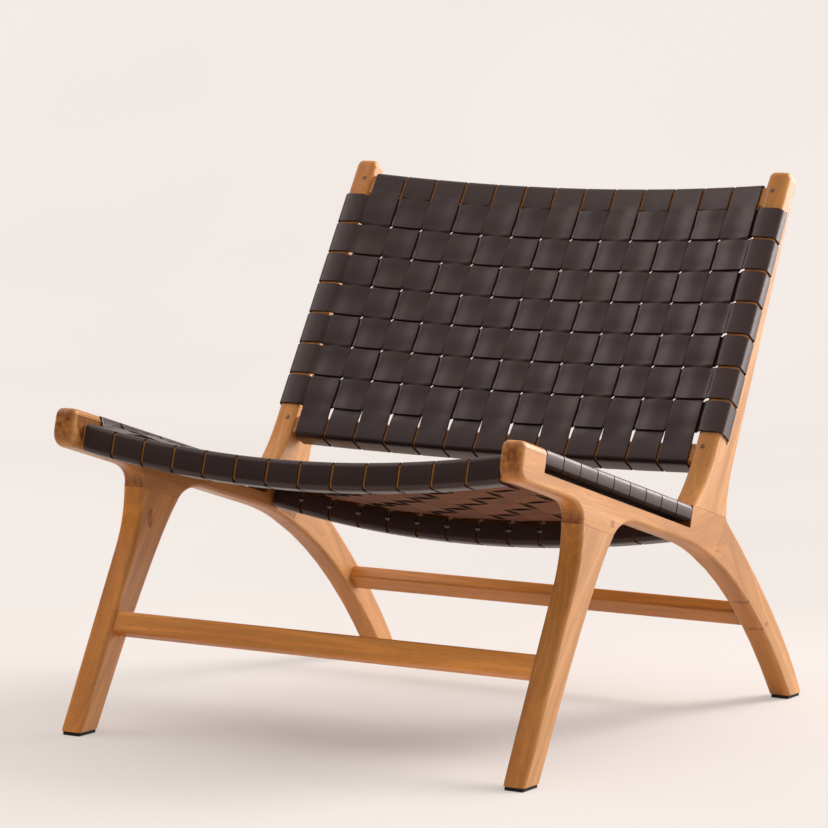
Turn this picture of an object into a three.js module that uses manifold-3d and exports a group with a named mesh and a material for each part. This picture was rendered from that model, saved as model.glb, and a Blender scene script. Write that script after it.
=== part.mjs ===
// Lounge chair: two flat teak side frames, four dished rails and two stretchers between them,
// and a seat and a back woven from leather straps that are wrapped round the rails and the frames.
// Millimetres, +Z up. The sitter faces -Y and the floor is z = 0. Left and right are the sitter's.
import * as THREE from 'three';
import { mergeVertices } from 'three/addons/utils/BufferGeometryUtils.js';
import Module from 'manifold-3d';

const { degToRad, lerp } = THREE.MathUtils;

// Whole chair
const WIDTH = 650; // over the outer faces of the side frames
const BOARD = 30; // thickness of the side frame boards
const FIT = 0.3; // clearance between touching pieces
const TENON_LENGTH = 14; // reach of a rail's or stretcher's tenon into a board
const TENON_SHOULDER = 5; // step from a rail's face to its tenon
const BOARD_TENON = 10; // thickness of the tenons between the boards of a side frame
const EDGE_CHAMFER = 3; // broken long edges of the rails and stretchers

// Side rail, measured along its top edge from the front and square to that edge
const SEAT_FRONT_HEIGHT = 407; // top front corner above the floor
const SEAT_SLOPE = degToRad(15.3); // fall towards the back
const RAIL_DEPTH = 47;
const NOSE_TOP_ROUND = 11;
const NOSE_LOW_ROUND = 22;
const NOSE_LENGTH = 58; // solid wood ahead of the slot
const SLOT_LENGTH = 396;
const REAR_BLOCK = 102; // solid wood behind the slot
const SLOT_HEIGHT = 10.3;
const BAR_BOTTOM = 18; // under side of the bar that carries the cross straps
const ARCH_LEAD = 14; // the under side begins to bend into the rear leg this far ahead of the slot's end
const ARCH_BEND = 36; // and would meet it this far behind the slot's end
const REAR_JOINT_IN = 26; // lower end of the rear leg joint, ahead of its upper end
const REAR_JOINT_DOWN = 56.6;

// Front leg
const LEG_STUB_FROM = 168; // part of the rail that reaches down to the front leg
const LEG_STUB_WIDTH = 88;
const LEG_STUB_DOWN = 69.5;
const STUB_FILLET_FRONT = 40;
const STUB_FILLET_REAR = 59;
const STUB_FILLET_BEND = 16;
const FRONT_LEG_RAKE = degToRad(28.1); // front edge of the leg from upright
const FRONT_LEG_BEND_DROP = 40; // its bend below the stub
const FRONT_LEG_REAR_RAKE = degToRad(29.7);
const FRONT_LEG_REAR_TOP_RAKE = degToRad(48);
const FOOT_LENGTH = 40.5;
const FRONT_TENON_WIDTH = 44;
const BOARD_TENON_REACH = 18;

// Rear leg
const REAR_LEG_REACH = 239; // heel behind the upper end of the joint
const REAR_LEG_TOP_FALL = degToRad(40.5);
const REAR_LEG_FOOT_FALL = degToRad(59);
const REAR_LEG_INNER_TOP_FALL = degToRad(26.5);
const REAR_LEG_INNER_FOOT_FALL = degToRad(52.5);
const REAR_TENON_FROM = 22; // along the joint, from its upper end
const REAR_TENON_WIDTH = 30;

// Back post, measured along its front face from where that face meets the rail
const BACK_LEAN = degToRad(31.5); // from upright
const POST_FOOT = 19; // along the rail, behind the slot's end
const POST_TOE = 4; // front of its flared foot, behind the slot's end
const POST_FLARE_BEND = 30;
const POST_FLARE_TOP = 76;
const POST_HEAD = 22; // above the top back rail
const POST_TOP_DEPTH = 25;
const POST_LOW_DEPTH = 60;
const POST_LOW_AT = 82; // where the low depth is measured
const POST_HEEL_BEND = 52;
const POST_HEEL_TOP = 90;
const POST_TOP_ROUND = 9;
const POST_TENON_FROM = 38; // along the rail, behind the slot's end
const POST_TENON_WIDTH = 24;
const GROOVE_FOOT = 25; // strap groove behind the front face, at the lowest strap
const GROOVE_HEAD = 17; // and at the highest
const GROOVE_DEPTH = 12;
const GROOVE_OVERRUN = 5;

// Stretchers and feet
const STRETCHER_HEIGHT = 28;
const STRETCHER_THICKNESS = 19;
const FRONT_STRETCHER_Z = 130;
const FRONT_STRETCHER_INSET = 5; // behind the leg's front edge
const REAR_STRETCHER_Z = 133; // height of the leg's back edge beside the stretcher
const REAR_STRETCHER_INSET = 8.5;
const GLIDE_HEIGHT = 5;
const GLIDE_INSET = 3;

// Straps
const STRAP = 2.6; // leather thickness
const COLUMNS = 13;
const COLUMN_GAP = 3.2;
const SIDE_GAP = 6; // from the outermost straps to the side frames
const SEAT_ROWS = 9;
const SEAT_ROW_GAP = 1.5;
const SEAT_ROW_END_GAP = 1; // from the end straps to the ends of the slot
const BACK_ROWS = 7;
const BACK_ROW_GAP = 3.6;
const BACK_ROWS_LENGTH = 321;
const SEAT_TAIL = 24; // tacked end on the rail's inner face, from its lower corner
const BACK_TAIL = 12; // from the tacked end to the upper or lower edge of the rail's rear face
const EDGE_EASE = 70; // length over which the seat's edges rise from the rails

// Dished rails: size of the section, gap to the nearest cross straps, and depth of the web over
// the rail's ends and middle
const FRONT_RAIL = { width: 24, depth: 28, gap: 13, edge: 15.3, middle: 41.8 };
const REAR_RAIL = { width: 24, depth: 28, gap: 15, edge: 9.3, middle: 36.3 };
const LOW_BACK_RAIL = { width: 28, depth: 26, gap: 14, edge: 2.4, middle: 13.4 };
const TOP_BACK_RAIL = { width: 31.5, depth: 21, gap: 3, edge: 2.4, middle: 27.4 };
const LOW_BACK_RAIL_FROM = 62; // up the post
const SEAT_SIDE_DEPTH = 5; // depth of the seat's edges between its rails
const RAIL_STEPS = 14; // facets along a dished edge
const OUTLINE_STEPS = 7; // facets of each bend in a board's outline
const ROUND_STEPS = 3; // facets of a stretcher's rounded edge
const CUT_PAST = 10; // how far a cut runs past the face it opens

const OUTER = WIDTH / 2;
const INNER = OUTER - BOARD;
const STRAP_TO_WOOD = STRAP / 2 + FIT; // from a strap's middle to the wood under it
const CROSSING = (STRAP + FIT) / 2; // a strap's rise or fall at a crossing
const RECESS = STRAP + FIT; // lets the cross straps lie flush in the side rails
const SLOT_END = NOSE_LENGTH + SLOT_LENGTH;
const RAIL_LENGTH = SLOT_END + REAR_BLOCK;
const BACK_ROWS_FROM = LOW_BACK_RAIL_FROM + LOW_BACK_RAIL.width + LOW_BACK_RAIL.gap;
const BACK_ROWS_END = BACK_ROWS_FROM + BACK_ROWS_LENGTH;
const POST_LENGTH = BACK_ROWS_END + TOP_BACK_RAIL.gap + TOP_BACK_RAIL.width + POST_HEAD;
const SIDES = [['left', 1], ['right', -1]];

const wasm = await Module();
wasm.setup();

// Solids
function solidOf(geometry) {
  const bare = geometry.clone();
  bare.deleteAttribute('normal');
  bare.deleteAttribute('uv');
  const merged = mergeVertices(bare, 1e-4);
  const mesh = new wasm.Mesh({
    numProp: 3,
    vertProperties: new Float32Array(merged.attributes.position.array),
    triVerts: new Uint32Array(merged.index.array),
  });
  mesh.merge();
  return new wasm.Manifold(mesh);
}

function geometryOf(solid) {
  const mesh = solid.getMesh();
  const geometry = new THREE.BufferGeometry();
  geometry.setAttribute('position', new THREE.BufferAttribute(mesh.vertProperties, 3));
  geometry.setIndex(new THREE.BufferAttribute(mesh.triVerts, 1));
  geometry.computeVertexNormals();
  return geometry;
}

// A box given by its low and high corners in a frame's own axes
function block(frame, low, high) {
  const size = high.clone().sub(low);
  const middle = high.clone().add(low).multiplyScalar(0.5);
  const geometry = new THREE.BoxGeometry(size.x, size.y, size.z);
  geometry.translate(middle.x, middle.y, middle.z);
  geometry.applyMatrix4(frame);
  return solidOf(geometry);
}

const corner = (x, y, z) => new THREE.Vector3(x, y, z);

// A box from one board's inner face outwards: x runs from near to far on the given side
function sideBlock(frame, side, near, far, low, high) {
  const ends = [side * near, side * far].sort((a, b) => a - b);
  return block(frame, corner(ends[0], low.x, low.y), corner(ends[1], high.x, high.y));
}

// Frames: local Y runs along the rail or up the post, local Z points to the sitter
const seatPoint = (along, down) => new THREE.Vector2(
  along * Math.cos(SEAT_SLOPE) - down * Math.sin(SEAT_SLOPE),
  SEAT_FRONT_HEIGHT - along * Math.sin(SEAT_SLOPE) - down * Math.cos(SEAT_SLOPE),
);
const postFoot = seatPoint(SLOT_END + POST_FOOT, 0);
const backPoint = (up, behind) => new THREE.Vector2(
  postFoot.x + up * Math.sin(BACK_LEAN) + behind * Math.cos(BACK_LEAN),
  postFoot.y + up * Math.cos(BACK_LEAN) - behind * Math.sin(BACK_LEAN),
);
const chairFrame = new THREE.Matrix4();
const seatFrame = new THREE.Matrix4().makeRotationX(-SEAT_SLOPE).setPosition(0, 0, SEAT_FRONT_HEIGHT);
const backFrame = new THREE.Matrix4()
  .makeRotationX(Math.PI / 2 - BACK_LEAN)
  .setPosition(0, postFoot.x, postFoot.y);

const flat = (x, y) => new THREE.Vector2(x, y);
const start = (shape, point) => shape.moveTo(point.x, point.y);
const line = (shape, point) => shape.lineTo(point.x, point.y);
const bend = (shape, through, end) => shape.quadraticCurveTo(through.x, through.y, end.x, end.y);

// Where a line from a, sloping by angle a, meets a line from b, sloping by angle b
function meet(a, angleA, b, angleB) {
  const slopeA = Math.tan(angleA);
  const slopeB = Math.tan(angleB);
  const x = (b.y - a.y + slopeA * a.x - slopeB * b.x) / (slopeA - slopeB);
  return flat(x, a.y + slopeA * (x - a.x));
}

// A board of a side frame: an outline in the YZ plane, extruded across the board
function board(shape, side) {
  const geometry = new THREE.ExtrudeGeometry(shape, {
    depth: BOARD, bevelEnabled: false, curveSegments: OUTLINE_STEPS,
  });
  const axes = new THREE.Matrix4().makeBasis(corner(0, 1, 0), corner(0, 0, 1), corner(1, 0, 0));
  geometry.applyMatrix4(axes);
  geometry.translate(side > 0 ? INNER : -OUTER, 0, 0);
  return solidOf(geometry);
}

// Webs: the seat and the back share one description, depth being measured away from the sitter
function makeWeb(frame, foot, head, sideDepth, rows) {
  const footInner = rows.rowsFrom - foot.gap;
  const headInner = rows.rowsFrom + rows.rowsLength + head.gap;
  return {
    frame,
    foot: { ...foot, from: footInner - foot.width, inner: footInner },
    head: { ...head, from: headInner, inner: headInner },
    sideDepth,
    ...rows,
  };
}

const seatWeb = makeWeb(seatFrame, FRONT_RAIL, REAR_RAIL, SEAT_SIDE_DEPTH, {
  rows: SEAT_ROWS,
  rowGap: SEAT_ROW_GAP,
  rowsFrom: NOSE_LENGTH + SEAT_ROW_END_GAP,
  rowsLength: SLOT_LENGTH - 2 * SEAT_ROW_END_GAP,
});
const backWeb = makeWeb(backFrame, LOW_BACK_RAIL, TOP_BACK_RAIL, TOP_BACK_RAIL.edge, {
  rows: BACK_ROWS,
  rowGap: BACK_ROW_GAP,
  rowsFrom: BACK_ROWS_FROM,
  rowsLength: BACK_ROWS_LENGTH,
});

// Depth of the middle of the leather below the frame's plane, at x and along the web
function webDepth(web, x, along) {
  const { foot, head, sideDepth } = web;
  const middle = lerp(foot.middle, head.middle, (along - foot.inner) / (head.inner - foot.inner));
  const nearFoot = Math.exp(-(along - foot.inner) / EDGE_EASE);
  const nearHead = Math.exp(-(head.inner - along) / EDGE_EASE);
  const edge = sideDepth + (foot.edge - sideDepth) * nearFoot + (head.edge - sideDepth) * nearHead;
  return edge + (middle - edge) * (1 - (x / INNER) ** 2);
}

const columnWidth = (2 * (INNER - SIDE_GAP) - (COLUMNS - 1) * COLUMN_GAP) / COLUMNS;
function columnEdges(column) {
  const low = SIDE_GAP - INNER + column * (columnWidth + COLUMN_GAP);
  return [low, low + columnWidth];
}

function rowEdges(web, row) {
  const width = (web.rowsLength - (web.rows - 1) * web.rowGap) / web.rows;
  const low = web.rowsFrom + row * (width + web.rowGap);
  return [low, low + width];
}

const lengthwiseOnTop = (column, row) => (column + row) % 2 === 0;

// Dished rails, with a tenon at each end
const railTop = (web, rail, x) => webDepth(web, x, rail.inner) + STRAP_TO_WOOD;

function tenonSection(web, rail, clearance) {
  const top = -railTop(web, rail, INNER);
  const step = TENON_SHOULDER - clearance;
  return {
    low: flat(rail.from + step, top - rail.depth + step),
    high: flat(rail.from + rail.width - step, top - step),
  };
}

function dishedRail(web, rail) {
  const half = INNER - FIT;
  const end = -railTop(web, rail, half);
  const sunk = 2 * -railTop(web, rail, 0) - end;
  const shape = new THREE.Shape();
  start(shape, flat(-half, end));
  bend(shape, flat(0, sunk), flat(half, end));
  line(shape, flat(half, end - rail.depth));
  bend(shape, flat(0, sunk - rail.depth), flat(-half, end - rail.depth));
  const geometry = new THREE.ExtrudeGeometry(shape, {
    depth: rail.width - 2 * EDGE_CHAMFER,
    bevelSize: EDGE_CHAMFER,
    bevelThickness: EDGE_CHAMFER,
    bevelOffset: -EDGE_CHAMFER,
    bevelSegments: 1,
    curveSegments: RAIL_STEPS,
  });
  geometry.rotateX(Math.PI / 2);
  geometry.translate(0, rail.from + rail.width - EDGE_CHAMFER, 0);
  const section = tenonSection(web, rail, 0);
  let solid = solidOf(geometry);
  for (const [, side] of SIDES) {
    const reach = INNER + TENON_LENGTH - FIT;
    solid = solid.add(sideBlock(chairFrame, side, half - TENON_SHOULDER, reach, section.low, section.high));
  }
  return geometryOf(solid);
}

function railMortise(web, rail, side) {
  const section = tenonSection(web, rail, FIT);
  return sideBlock(web.frame, side, INNER - CUT_PAST, INNER + TENON_LENGTH, section.low, section.high);
}

// Stretchers: the frame's local Y runs up or along the leg, local Z is square to it
function stretcherFrame(middle, angle) {
  return new THREE.Matrix4().makeRotationX(angle).setPosition(0, middle.x, middle.y);
}

const halfStretcher = flat(STRETCHER_HEIGHT / 2, STRETCHER_THICKNESS / 2);

function stretcherTenon(clearance) {
  const step = TENON_SHOULDER - clearance;
  const high = flat(halfStretcher.x - step, halfStretcher.y - step);
  return { low: high.clone().negate(), high };
}

function stretcher() {
  const { x: a, y: b } = halfStretcher;
  const c = EDGE_CHAMFER;
  const shape = new THREE.Shape();
  start(shape, flat(-a + c, -b));
  line(shape, flat(a - c, -b));
  bend(shape, flat(a, -b), flat(a, -b + c));
  line(shape, flat(a, b - c));
  bend(shape, flat(a, b), flat(a - c, b));
  line(shape, flat(-a + c, b));
  bend(shape, flat(-a, b), flat(-a, b - c));
  line(shape, flat(-a, -b + c));
  bend(shape, flat(-a, -b), flat(-a + c, -b));
  const half = INNER - FIT;
  const geometry = new THREE.ExtrudeGeometry(shape, {
    depth: 2 * half, bevelEnabled: false, curveSegments: ROUND_STEPS,
  });
  geometry.applyMatrix4(new THREE.Matrix4().makeBasis(corner(0, 1, 0), corner(0, 0, 1), corner(1, 0, 0)));
  geometry.translate(-half, 0, 0);
  const section = stretcherTenon(0);
  let solid = solidOf(geometry);
  for (const [, side] of SIDES) {
    const reach = INNER + TENON_LENGTH - FIT;
    solid = solid.add(sideBlock(chairFrame, side, half - TENON_SHOULDER, reach, section.low, section.high));
  }
  return geometryOf(solid);
}

function stretcherMortise(frame, side) {
  const section = stretcherTenon(FIT);
  return sideBlock(frame, side, INNER - CUT_PAST, INNER + TENON_LENGTH, section.low, section.high);
}

// Tenons between the boards of a side frame run along the rail's own axes
function boardTenon(frame, side, low, high, clearance) {
  const middle = (INNER + OUTER) / 2;
  const half = BOARD_TENON / 2 + clearance;
  const from = low.clone().subScalar(clearance);
  const to = high.clone().addScalar(clearance);
  return sideBlock(frame, side, middle - half, middle + half, from, to);
}

const legTenonFrom = LEG_STUB_FROM + (LEG_STUB_WIDTH - FRONT_TENON_WIDTH) / 2;
function legTenon(side, clearance) {
  const low = flat(legTenonFrom, -LEG_STUB_DOWN - BOARD_TENON_REACH);
  const high = flat(legTenonFrom + FRONT_TENON_WIDTH, -LEG_STUB_DOWN + BOARD_TENON_REACH);
  return boardTenon(seatFrame, side, low, high, clearance);
}

function postTenon(side, clearance) {
  const from = SLOT_END + POST_TENON_FROM;
  const low = flat(from, -BOARD_TENON_REACH);
  const high = flat(from + POST_TENON_WIDTH, BOARD_TENON_REACH);
  return boardTenon(seatFrame, side, low, high, clearance);
}

// The rear leg's joint: its frame has local Y down the joint and local Z out into the leg
const rearJointTop = seatPoint(RAIL_LENGTH, 0);
const rearJointLow = seatPoint(RAIL_LENGTH - REAR_JOINT_IN, REAR_JOINT_DOWN);
const rearJointDown = rearJointLow.clone().sub(rearJointTop).normalize();
const rearJointFrame = new THREE.Matrix4()
  .makeRotationX(Math.atan2(rearJointDown.y, rearJointDown.x))
  .setPosition(0, rearJointTop.x, rearJointTop.y);
const rearJointOut = flat(-rearJointDown.y, rearJointDown.x);

function rearLegTenon(side, clearance) {
  const low = flat(REAR_TENON_FROM, -BOARD_TENON_REACH);
  const high = flat(REAR_TENON_FROM + REAR_TENON_WIDTH, BOARD_TENON_REACH);
  return boardTenon(rearJointFrame, side, low, high, clearance);
}

// Front leg outline
const stubFront = seatPoint(LEG_STUB_FROM, LEG_STUB_DOWN + FIT);
const stubRear = seatPoint(LEG_STUB_FROM + LEG_STUB_WIDTH, LEG_STUB_DOWN + FIT);
const frontBend = flat(stubFront.x, stubFront.y - FRONT_LEG_BEND_DROP);
const toeRun = (frontBend.y - GLIDE_HEIGHT) * Math.tan(FRONT_LEG_RAKE);
const frontToe = flat(frontBend.x - toeRun, GLIDE_HEIGHT);
const frontHeel = flat(frontToe.x + FOOT_LENGTH, GLIDE_HEIGHT);
const frontUp = flat(Math.sin(FRONT_LEG_RAKE), Math.cos(FRONT_LEG_RAKE));

function frontLegShape() {
  const shape = new THREE.Shape();
  const rearBend = meet(
    frontHeel, Math.PI / 2 - FRONT_LEG_REAR_RAKE, stubRear, Math.PI / 2 - FRONT_LEG_REAR_TOP_RAKE,
  );
  start(shape, frontToe);
  line(shape, frontHeel);
  bend(shape, rearBend, stubRear);
  line(shape, stubFront);
  bend(shape, frontBend, frontBend.clone().addScaledVector(frontUp, -FRONT_LEG_BEND_DROP));
  return shape;
}

// Rear leg outline
const legTop = rearJointTop.clone().addScaledVector(rearJointOut, FIT);
const legTopLow = rearJointLow.clone().addScaledVector(rearJointOut, FIT);
const rearHeel = flat(rearJointTop.x + REAR_LEG_REACH, GLIDE_HEIGHT);
const rearToe = flat(rearHeel.x - FOOT_LENGTH, GLIDE_HEIGHT);
const rearBack = new THREE.QuadraticBezierCurve(
  legTop, meet(legTop, -REAR_LEG_TOP_FALL, rearHeel, -REAR_LEG_FOOT_FALL), rearHeel,
);

function rearLegShape() {
  const shape = new THREE.Shape();
  start(shape, legTop);
  bend(shape, rearBack.v1, rearHeel);
  line(shape, rearToe);
  bend(shape, meet(legTopLow, -REAR_LEG_INNER_TOP_FALL, rearToe, -REAR_LEG_INNER_FOOT_FALL), legTopLow);
  return shape;
}

// Side rail outline
function sideRailShape() {
  const shape = new THREE.Shape();
  const stubEnd = LEG_STUB_FROM + LEG_STUB_WIDTH;
  const stubFillet = LEG_STUB_FROM - STUB_FILLET_FRONT;
  start(shape, seatPoint(NOSE_TOP_ROUND, 0));
  line(shape, rearJointTop);
  line(shape, rearJointLow);
  bend(shape, seatPoint(SLOT_END + ARCH_BEND, RAIL_DEPTH), seatPoint(SLOT_END - ARCH_LEAD, RAIL_DEPTH));
  line(shape, seatPoint(stubEnd + STUB_FILLET_REAR, RAIL_DEPTH));
  bend(shape, seatPoint(stubEnd + STUB_FILLET_BEND, RAIL_DEPTH), seatPoint(stubEnd, LEG_STUB_DOWN));
  line(shape, seatPoint(LEG_STUB_FROM, LEG_STUB_DOWN));
  bend(shape, seatPoint(LEG_STUB_FROM, RAIL_DEPTH), seatPoint(stubFillet, RAIL_DEPTH));
  line(shape, seatPoint(NOSE_LOW_ROUND, RAIL_DEPTH));
  bend(shape, seatPoint(0, RAIL_DEPTH), seatPoint(0, RAIL_DEPTH - NOSE_LOW_ROUND));
  line(shape, seatPoint(0, NOSE_TOP_ROUND));
  bend(shape, seatPoint(0, 0), seatPoint(NOSE_TOP_ROUND, 0));
  return shape;
}

// Back post outline
function postShape() {
  const shape = new THREE.Shape();
  const taper = (POST_LOW_DEPTH - POST_TOP_DEPTH) / (POST_LENGTH - POST_LOW_AT);
  const backEdge = (up) => backPoint(up, POST_LOW_DEPTH - (up - POST_LOW_AT) * taper);
  start(shape, seatPoint(SLOT_END + POST_TOE, -FIT));
  bend(shape, backPoint(POST_FLARE_BEND, 0), backPoint(POST_FLARE_TOP, 0));
  line(shape, backPoint(POST_LENGTH - POST_TOP_ROUND, 0));
  bend(shape, backPoint(POST_LENGTH, 0), backPoint(POST_LENGTH, POST_TOP_ROUND));
  line(shape, backPoint(POST_LENGTH, POST_TOP_DEPTH - POST_TOP_ROUND));
  bend(shape, backEdge(POST_LENGTH), backEdge(POST_LENGTH - POST_TOP_ROUND));
  line(shape, backEdge(POST_HEEL_TOP));
  bend(shape, backEdge(POST_HEEL_BEND), seatPoint(RAIL_LENGTH, -FIT));
  return shape;
}

// Cuts in the side rail: the slot, and the recess that takes the thickness of the straps
function railCuts(side) {
  const slot = sideBlock(seatFrame, side, INNER - CUT_PAST, OUTER + CUT_PAST,
    flat(NOSE_LENGTH, -BAR_BOTTOM - SLOT_HEIGHT), flat(SLOT_END, -BAR_BOTTOM));
  const top = sideBlock(seatFrame, side, INNER - CUT_PAST, OUTER + CUT_PAST,
    flat(NOSE_LENGTH, -RECESS), flat(SLOT_END, CUT_PAST));
  const outside = sideBlock(seatFrame, side, OUTER - RECESS, OUTER + CUT_PAST,
    flat(NOSE_LENGTH, -BAR_BOTTOM - FIT), flat(SLOT_END, 0));
  return slot.add(top).add(outside);
}

// Groove in the post's outer face, into which the back straps are tucked
const grooveSlope = (GROOVE_HEAD - GROOVE_FOOT) / BACK_ROWS_LENGTH;
const grooveDepthAt = (up) => GROOVE_FOOT + (up - BACK_ROWS_FROM) * grooveSlope;

function grooveCut(side) {
  const lean = Math.atan(-grooveSlope);
  const frame = backFrame.clone()
    .multiply(new THREE.Matrix4().makeTranslation(0, BACK_ROWS_FROM, -GROOVE_FOOT))
    .multiply(new THREE.Matrix4().makeRotationX(lean));
  const length = BACK_ROWS_LENGTH / Math.cos(lean);
  return sideBlock(frame, side, OUTER - GROOVE_DEPTH, OUTER + CUT_PAST,
    flat(-GROOVE_OVERRUN, -STRAP_TO_WOOD), flat(length + GROOVE_OVERRUN, STRAP_TO_WOOD));
}

// Stretcher places: the front one near the leg's front edge, the rear one near the leg's back edge
const frontStretcherFrame = stretcherFrame(
  flat(
    frontToe.x + (FRONT_STRETCHER_Z - GLIDE_HEIGHT) * Math.tan(FRONT_LEG_RAKE)
      + (FRONT_STRETCHER_INSET + STRETCHER_THICKNESS / 2) / Math.cos(FRONT_LEG_RAKE),
    FRONT_STRETCHER_Z,
  ),
  Math.PI / 2 - FRONT_LEG_RAKE,
);

// The share of a falling bend at which it comes down to a height
function fallTo(curve, height) {
  const a = curve.v0.y - 2 * curve.v1.y + curve.v2.y;
  const b = 2 * (curve.v1.y - curve.v0.y);
  const c = curve.v0.y - height;
  return (-b - Math.sqrt(b * b - 4 * a * c)) / (2 * a);
}
const rearShare = fallTo(rearBack, REAR_STRETCHER_Z);
const rearFall = rearBack.getTangent(rearShare);
const rearInward = flat(rearFall.y, -rearFall.x);
const rearStretcherFrame = stretcherFrame(
  rearBack.getPoint(rearShare).addScaledVector(rearInward, REAR_STRETCHER_INSET + STRETCHER_THICKNESS / 2),
  Math.atan2(rearFall.y, rearFall.x),
);

// Boards of one side frame
function sideBoards(side) {
  const rail = board(sideRailShape(), side)
    .subtract(railCuts(side))
    .subtract(legTenon(side, FIT))
    .subtract(postTenon(side, FIT))
    .subtract(rearLegTenon(side, FIT))
    .subtract(railMortise(seatWeb, seatWeb.foot, side))
    .subtract(railMortise(seatWeb, seatWeb.head, side));
  const frontLeg = board(frontLegShape(), side)
    .add(legTenon(side, 0))
    .subtract(stretcherMortise(frontStretcherFrame, side));
  const rearLeg = board(rearLegShape(), side)
    .add(rearLegTenon(side, 0))
    .subtract(stretcherMortise(rearStretcherFrame, side));
  const post = board(postShape(), side)
    .add(postTenon(side, 0))
    .subtract(grooveCut(side))
    .subtract(railMortise(backWeb, backWeb.foot, side))
    .subtract(railMortise(backWeb, backWeb.head, side));
  return { rail, frontLeg, rearLeg, post };
}

// Foot glide: a flat pad under a foot
function glide(side, toe) {
  const low = flat(toe.x + GLIDE_INSET, 0);
  const high = flat(toe.x + FOOT_LENGTH - GLIDE_INSET, GLIDE_HEIGHT - FIT);
  return geometryOf(sideBlock(chairFrame, side, INNER + GLIDE_INSET, OUTER - GLIDE_INSET, low, high));
}

// Straps. A path is a list of points in the plane of the strap's run: u along the run, v to the sitter.
// Points in the weave keep their thickness square to the web; the others are mitred.
const turn = (from, to) => flat(from.v - to.v, to.u - from.u).normalize();

function thicknessAt(path, index) {
  const point = path[index];
  if (point.woven) {
    return flat(0, 1);
  }
  const before = path[index - 1];
  const after = path[index + 1];
  const into = turn(before ?? point, before ? point : after);
  const out = turn(after ? point : before, after ?? point);
  return into.clone().add(out).divideScalar(1 + into.dot(out));
}

// A closed strap between two edge paths; place turns an edge number and a point into a position
function strapGeometry(paths, place) {
  const positions = [];
  const indices = [];
  const count = paths[0].length;
  for (let index = 0; index < count; index += 1) {
    const ring = [[0, 1], [1, 1], [1, -1], [0, -1]];
    for (const [edge, face] of ring) {
      const point = paths[edge][index];
      const across = thicknessAt(paths[edge], index).multiplyScalar(face * STRAP / 2);
      positions.push(...place(edge, point.u + across.x, point.v + across.y));
    }
  }
  for (let index = 0; index + 1 < count; index += 1) {
    for (let k = 0; k < 4; k += 1) {
      const a = index * 4 + k;
      const b = index * 4 + ((k + 1) % 4);
      indices.push(a, b, b + 4, a, b + 4, a + 4);
    }
  }
  const last = (count - 1) * 4;
  indices.push(0, 2, 1, 0, 3, 2, last, last + 1, last + 2, last, last + 2, last + 3);
  const geometry = new THREE.BufferGeometry();
  geometry.setAttribute('position', new THREE.Float32BufferAttribute(positions, 3));
  geometry.setIndex(indices);
  geometry.computeVertexNormals();
  return geometry;
}

// The two points of a strap going round a rail's broken corner; su and sv point out of the rail
function roundCorner(u, v, su, sv) {
  const near = EDGE_CHAMFER - STRAP_TO_WOOD * Math.tan(Math.PI / 8);
  return {
    upright: { u: u + su * STRAP_TO_WOOD, v: v - sv * near },
    level: { u: u - su * near, v: v + sv * STRAP_TO_WOOD },
  };
}

// From the tacked tail, round a rail to its sitter's side. out is -1 at the foot rail, 1 at the head rail.
// The seat's tails turn up on the rail's inner face, the back's stay on its rear face.
function railWrap(web, rail, x, out, tailOnInnerFace) {
  const outer = out < 0 ? rail.from : rail.from + rail.width;
  const inner = out < 0 ? rail.from + rail.width : rail.from;
  const top = -railTop(web, rail, x);
  const low = top - rail.depth;
  const lowOuter = roundCorner(outer, low, out, -1);
  const topOuter = roundCorner(outer, top, out, 1);
  const path = [];
  if (tailOnInnerFace) {
    const lowInner = roundCorner(inner, low, -out, -1);
    path.push({ u: lowInner.upright.u, v: low + SEAT_TAIL });
    path.push(lowInner.upright, lowInner.level);
  } else {
    path.push({ u: inner + out * BACK_TAIL, v: low - STRAP_TO_WOOD });
  }
  path.push(lowOuter.level, lowOuter.upright, topOuter.upright, topOuter.level);
  path.push({ u: inner, v: top + STRAP_TO_WOOD, woven: true });
  return path;
}

function lengthwisePath(web, column, x, tailOnInnerFace) {
  const path = railWrap(web, web.foot, x, -1, tailOnInnerFace);
  for (let row = 0; row < web.rows; row += 1) {
    const rise = lengthwiseOnTop(column, row) ? CROSSING : -CROSSING;
    for (const along of rowEdges(web, row)) {
      path.push({ u: along, v: rise - webDepth(web, x, along), woven: true });
    }
  }
  return path.concat(railWrap(web, web.head, x, 1, tailOnInnerFace).reverse());
}

function lengthwiseStrap(web, column, tailOnInnerFace) {
  const edges = columnEdges(column);
  const paths = edges.map((x) => lengthwisePath(web, column, x, tailOnInnerFace));
  return strapGeometry(paths, (edge, u, v) => [edges[edge], u, v]);
}

// Ends of a cross strap on the side at -X: round the slotted bar, or round the post into its groove
function seatSidePath() {
  const outside = OUTER - STRAP / 2;
  const under = -BAR_BOTTOM - STRAP_TO_WOOD;
  return [
    { u: -INNER - STRAP_TO_WOOD, v: under },
    { u: -outside, v: under },
    { u: -outside, v: -STRAP / 2 },
    { u: -INNER, v: -STRAP / 2, woven: true },
  ];
}

function backSidePath(up) {
  const outside = OUTER + STRAP_TO_WOOD;
  const tucked = OUTER - GROOVE_DEPTH + STRAP;
  return [
    { u: -tucked, v: -grooveDepthAt(up) },
    { u: -outside, v: -grooveDepthAt(up) },
    { u: -outside, v: STRAP_TO_WOOD },
    { u: -INNER, v: STRAP_TO_WOOD, woven: true },
  ];
}

function crossPath(web, row, along, sidePath) {
  const path = sidePath(along);
  const mirrored = path.map((point) => ({ ...point, u: -point.u })).reverse();
  for (let column = 0; column < COLUMNS; column += 1) {
    const rise = lengthwiseOnTop(column, row) ? -CROSSING : CROSSING;
    for (const x of columnEdges(column)) {
      path.push({ u: x, v: rise - webDepth(web, x, along), woven: true });
    }
  }
  return path.concat(mirrored);
}

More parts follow.
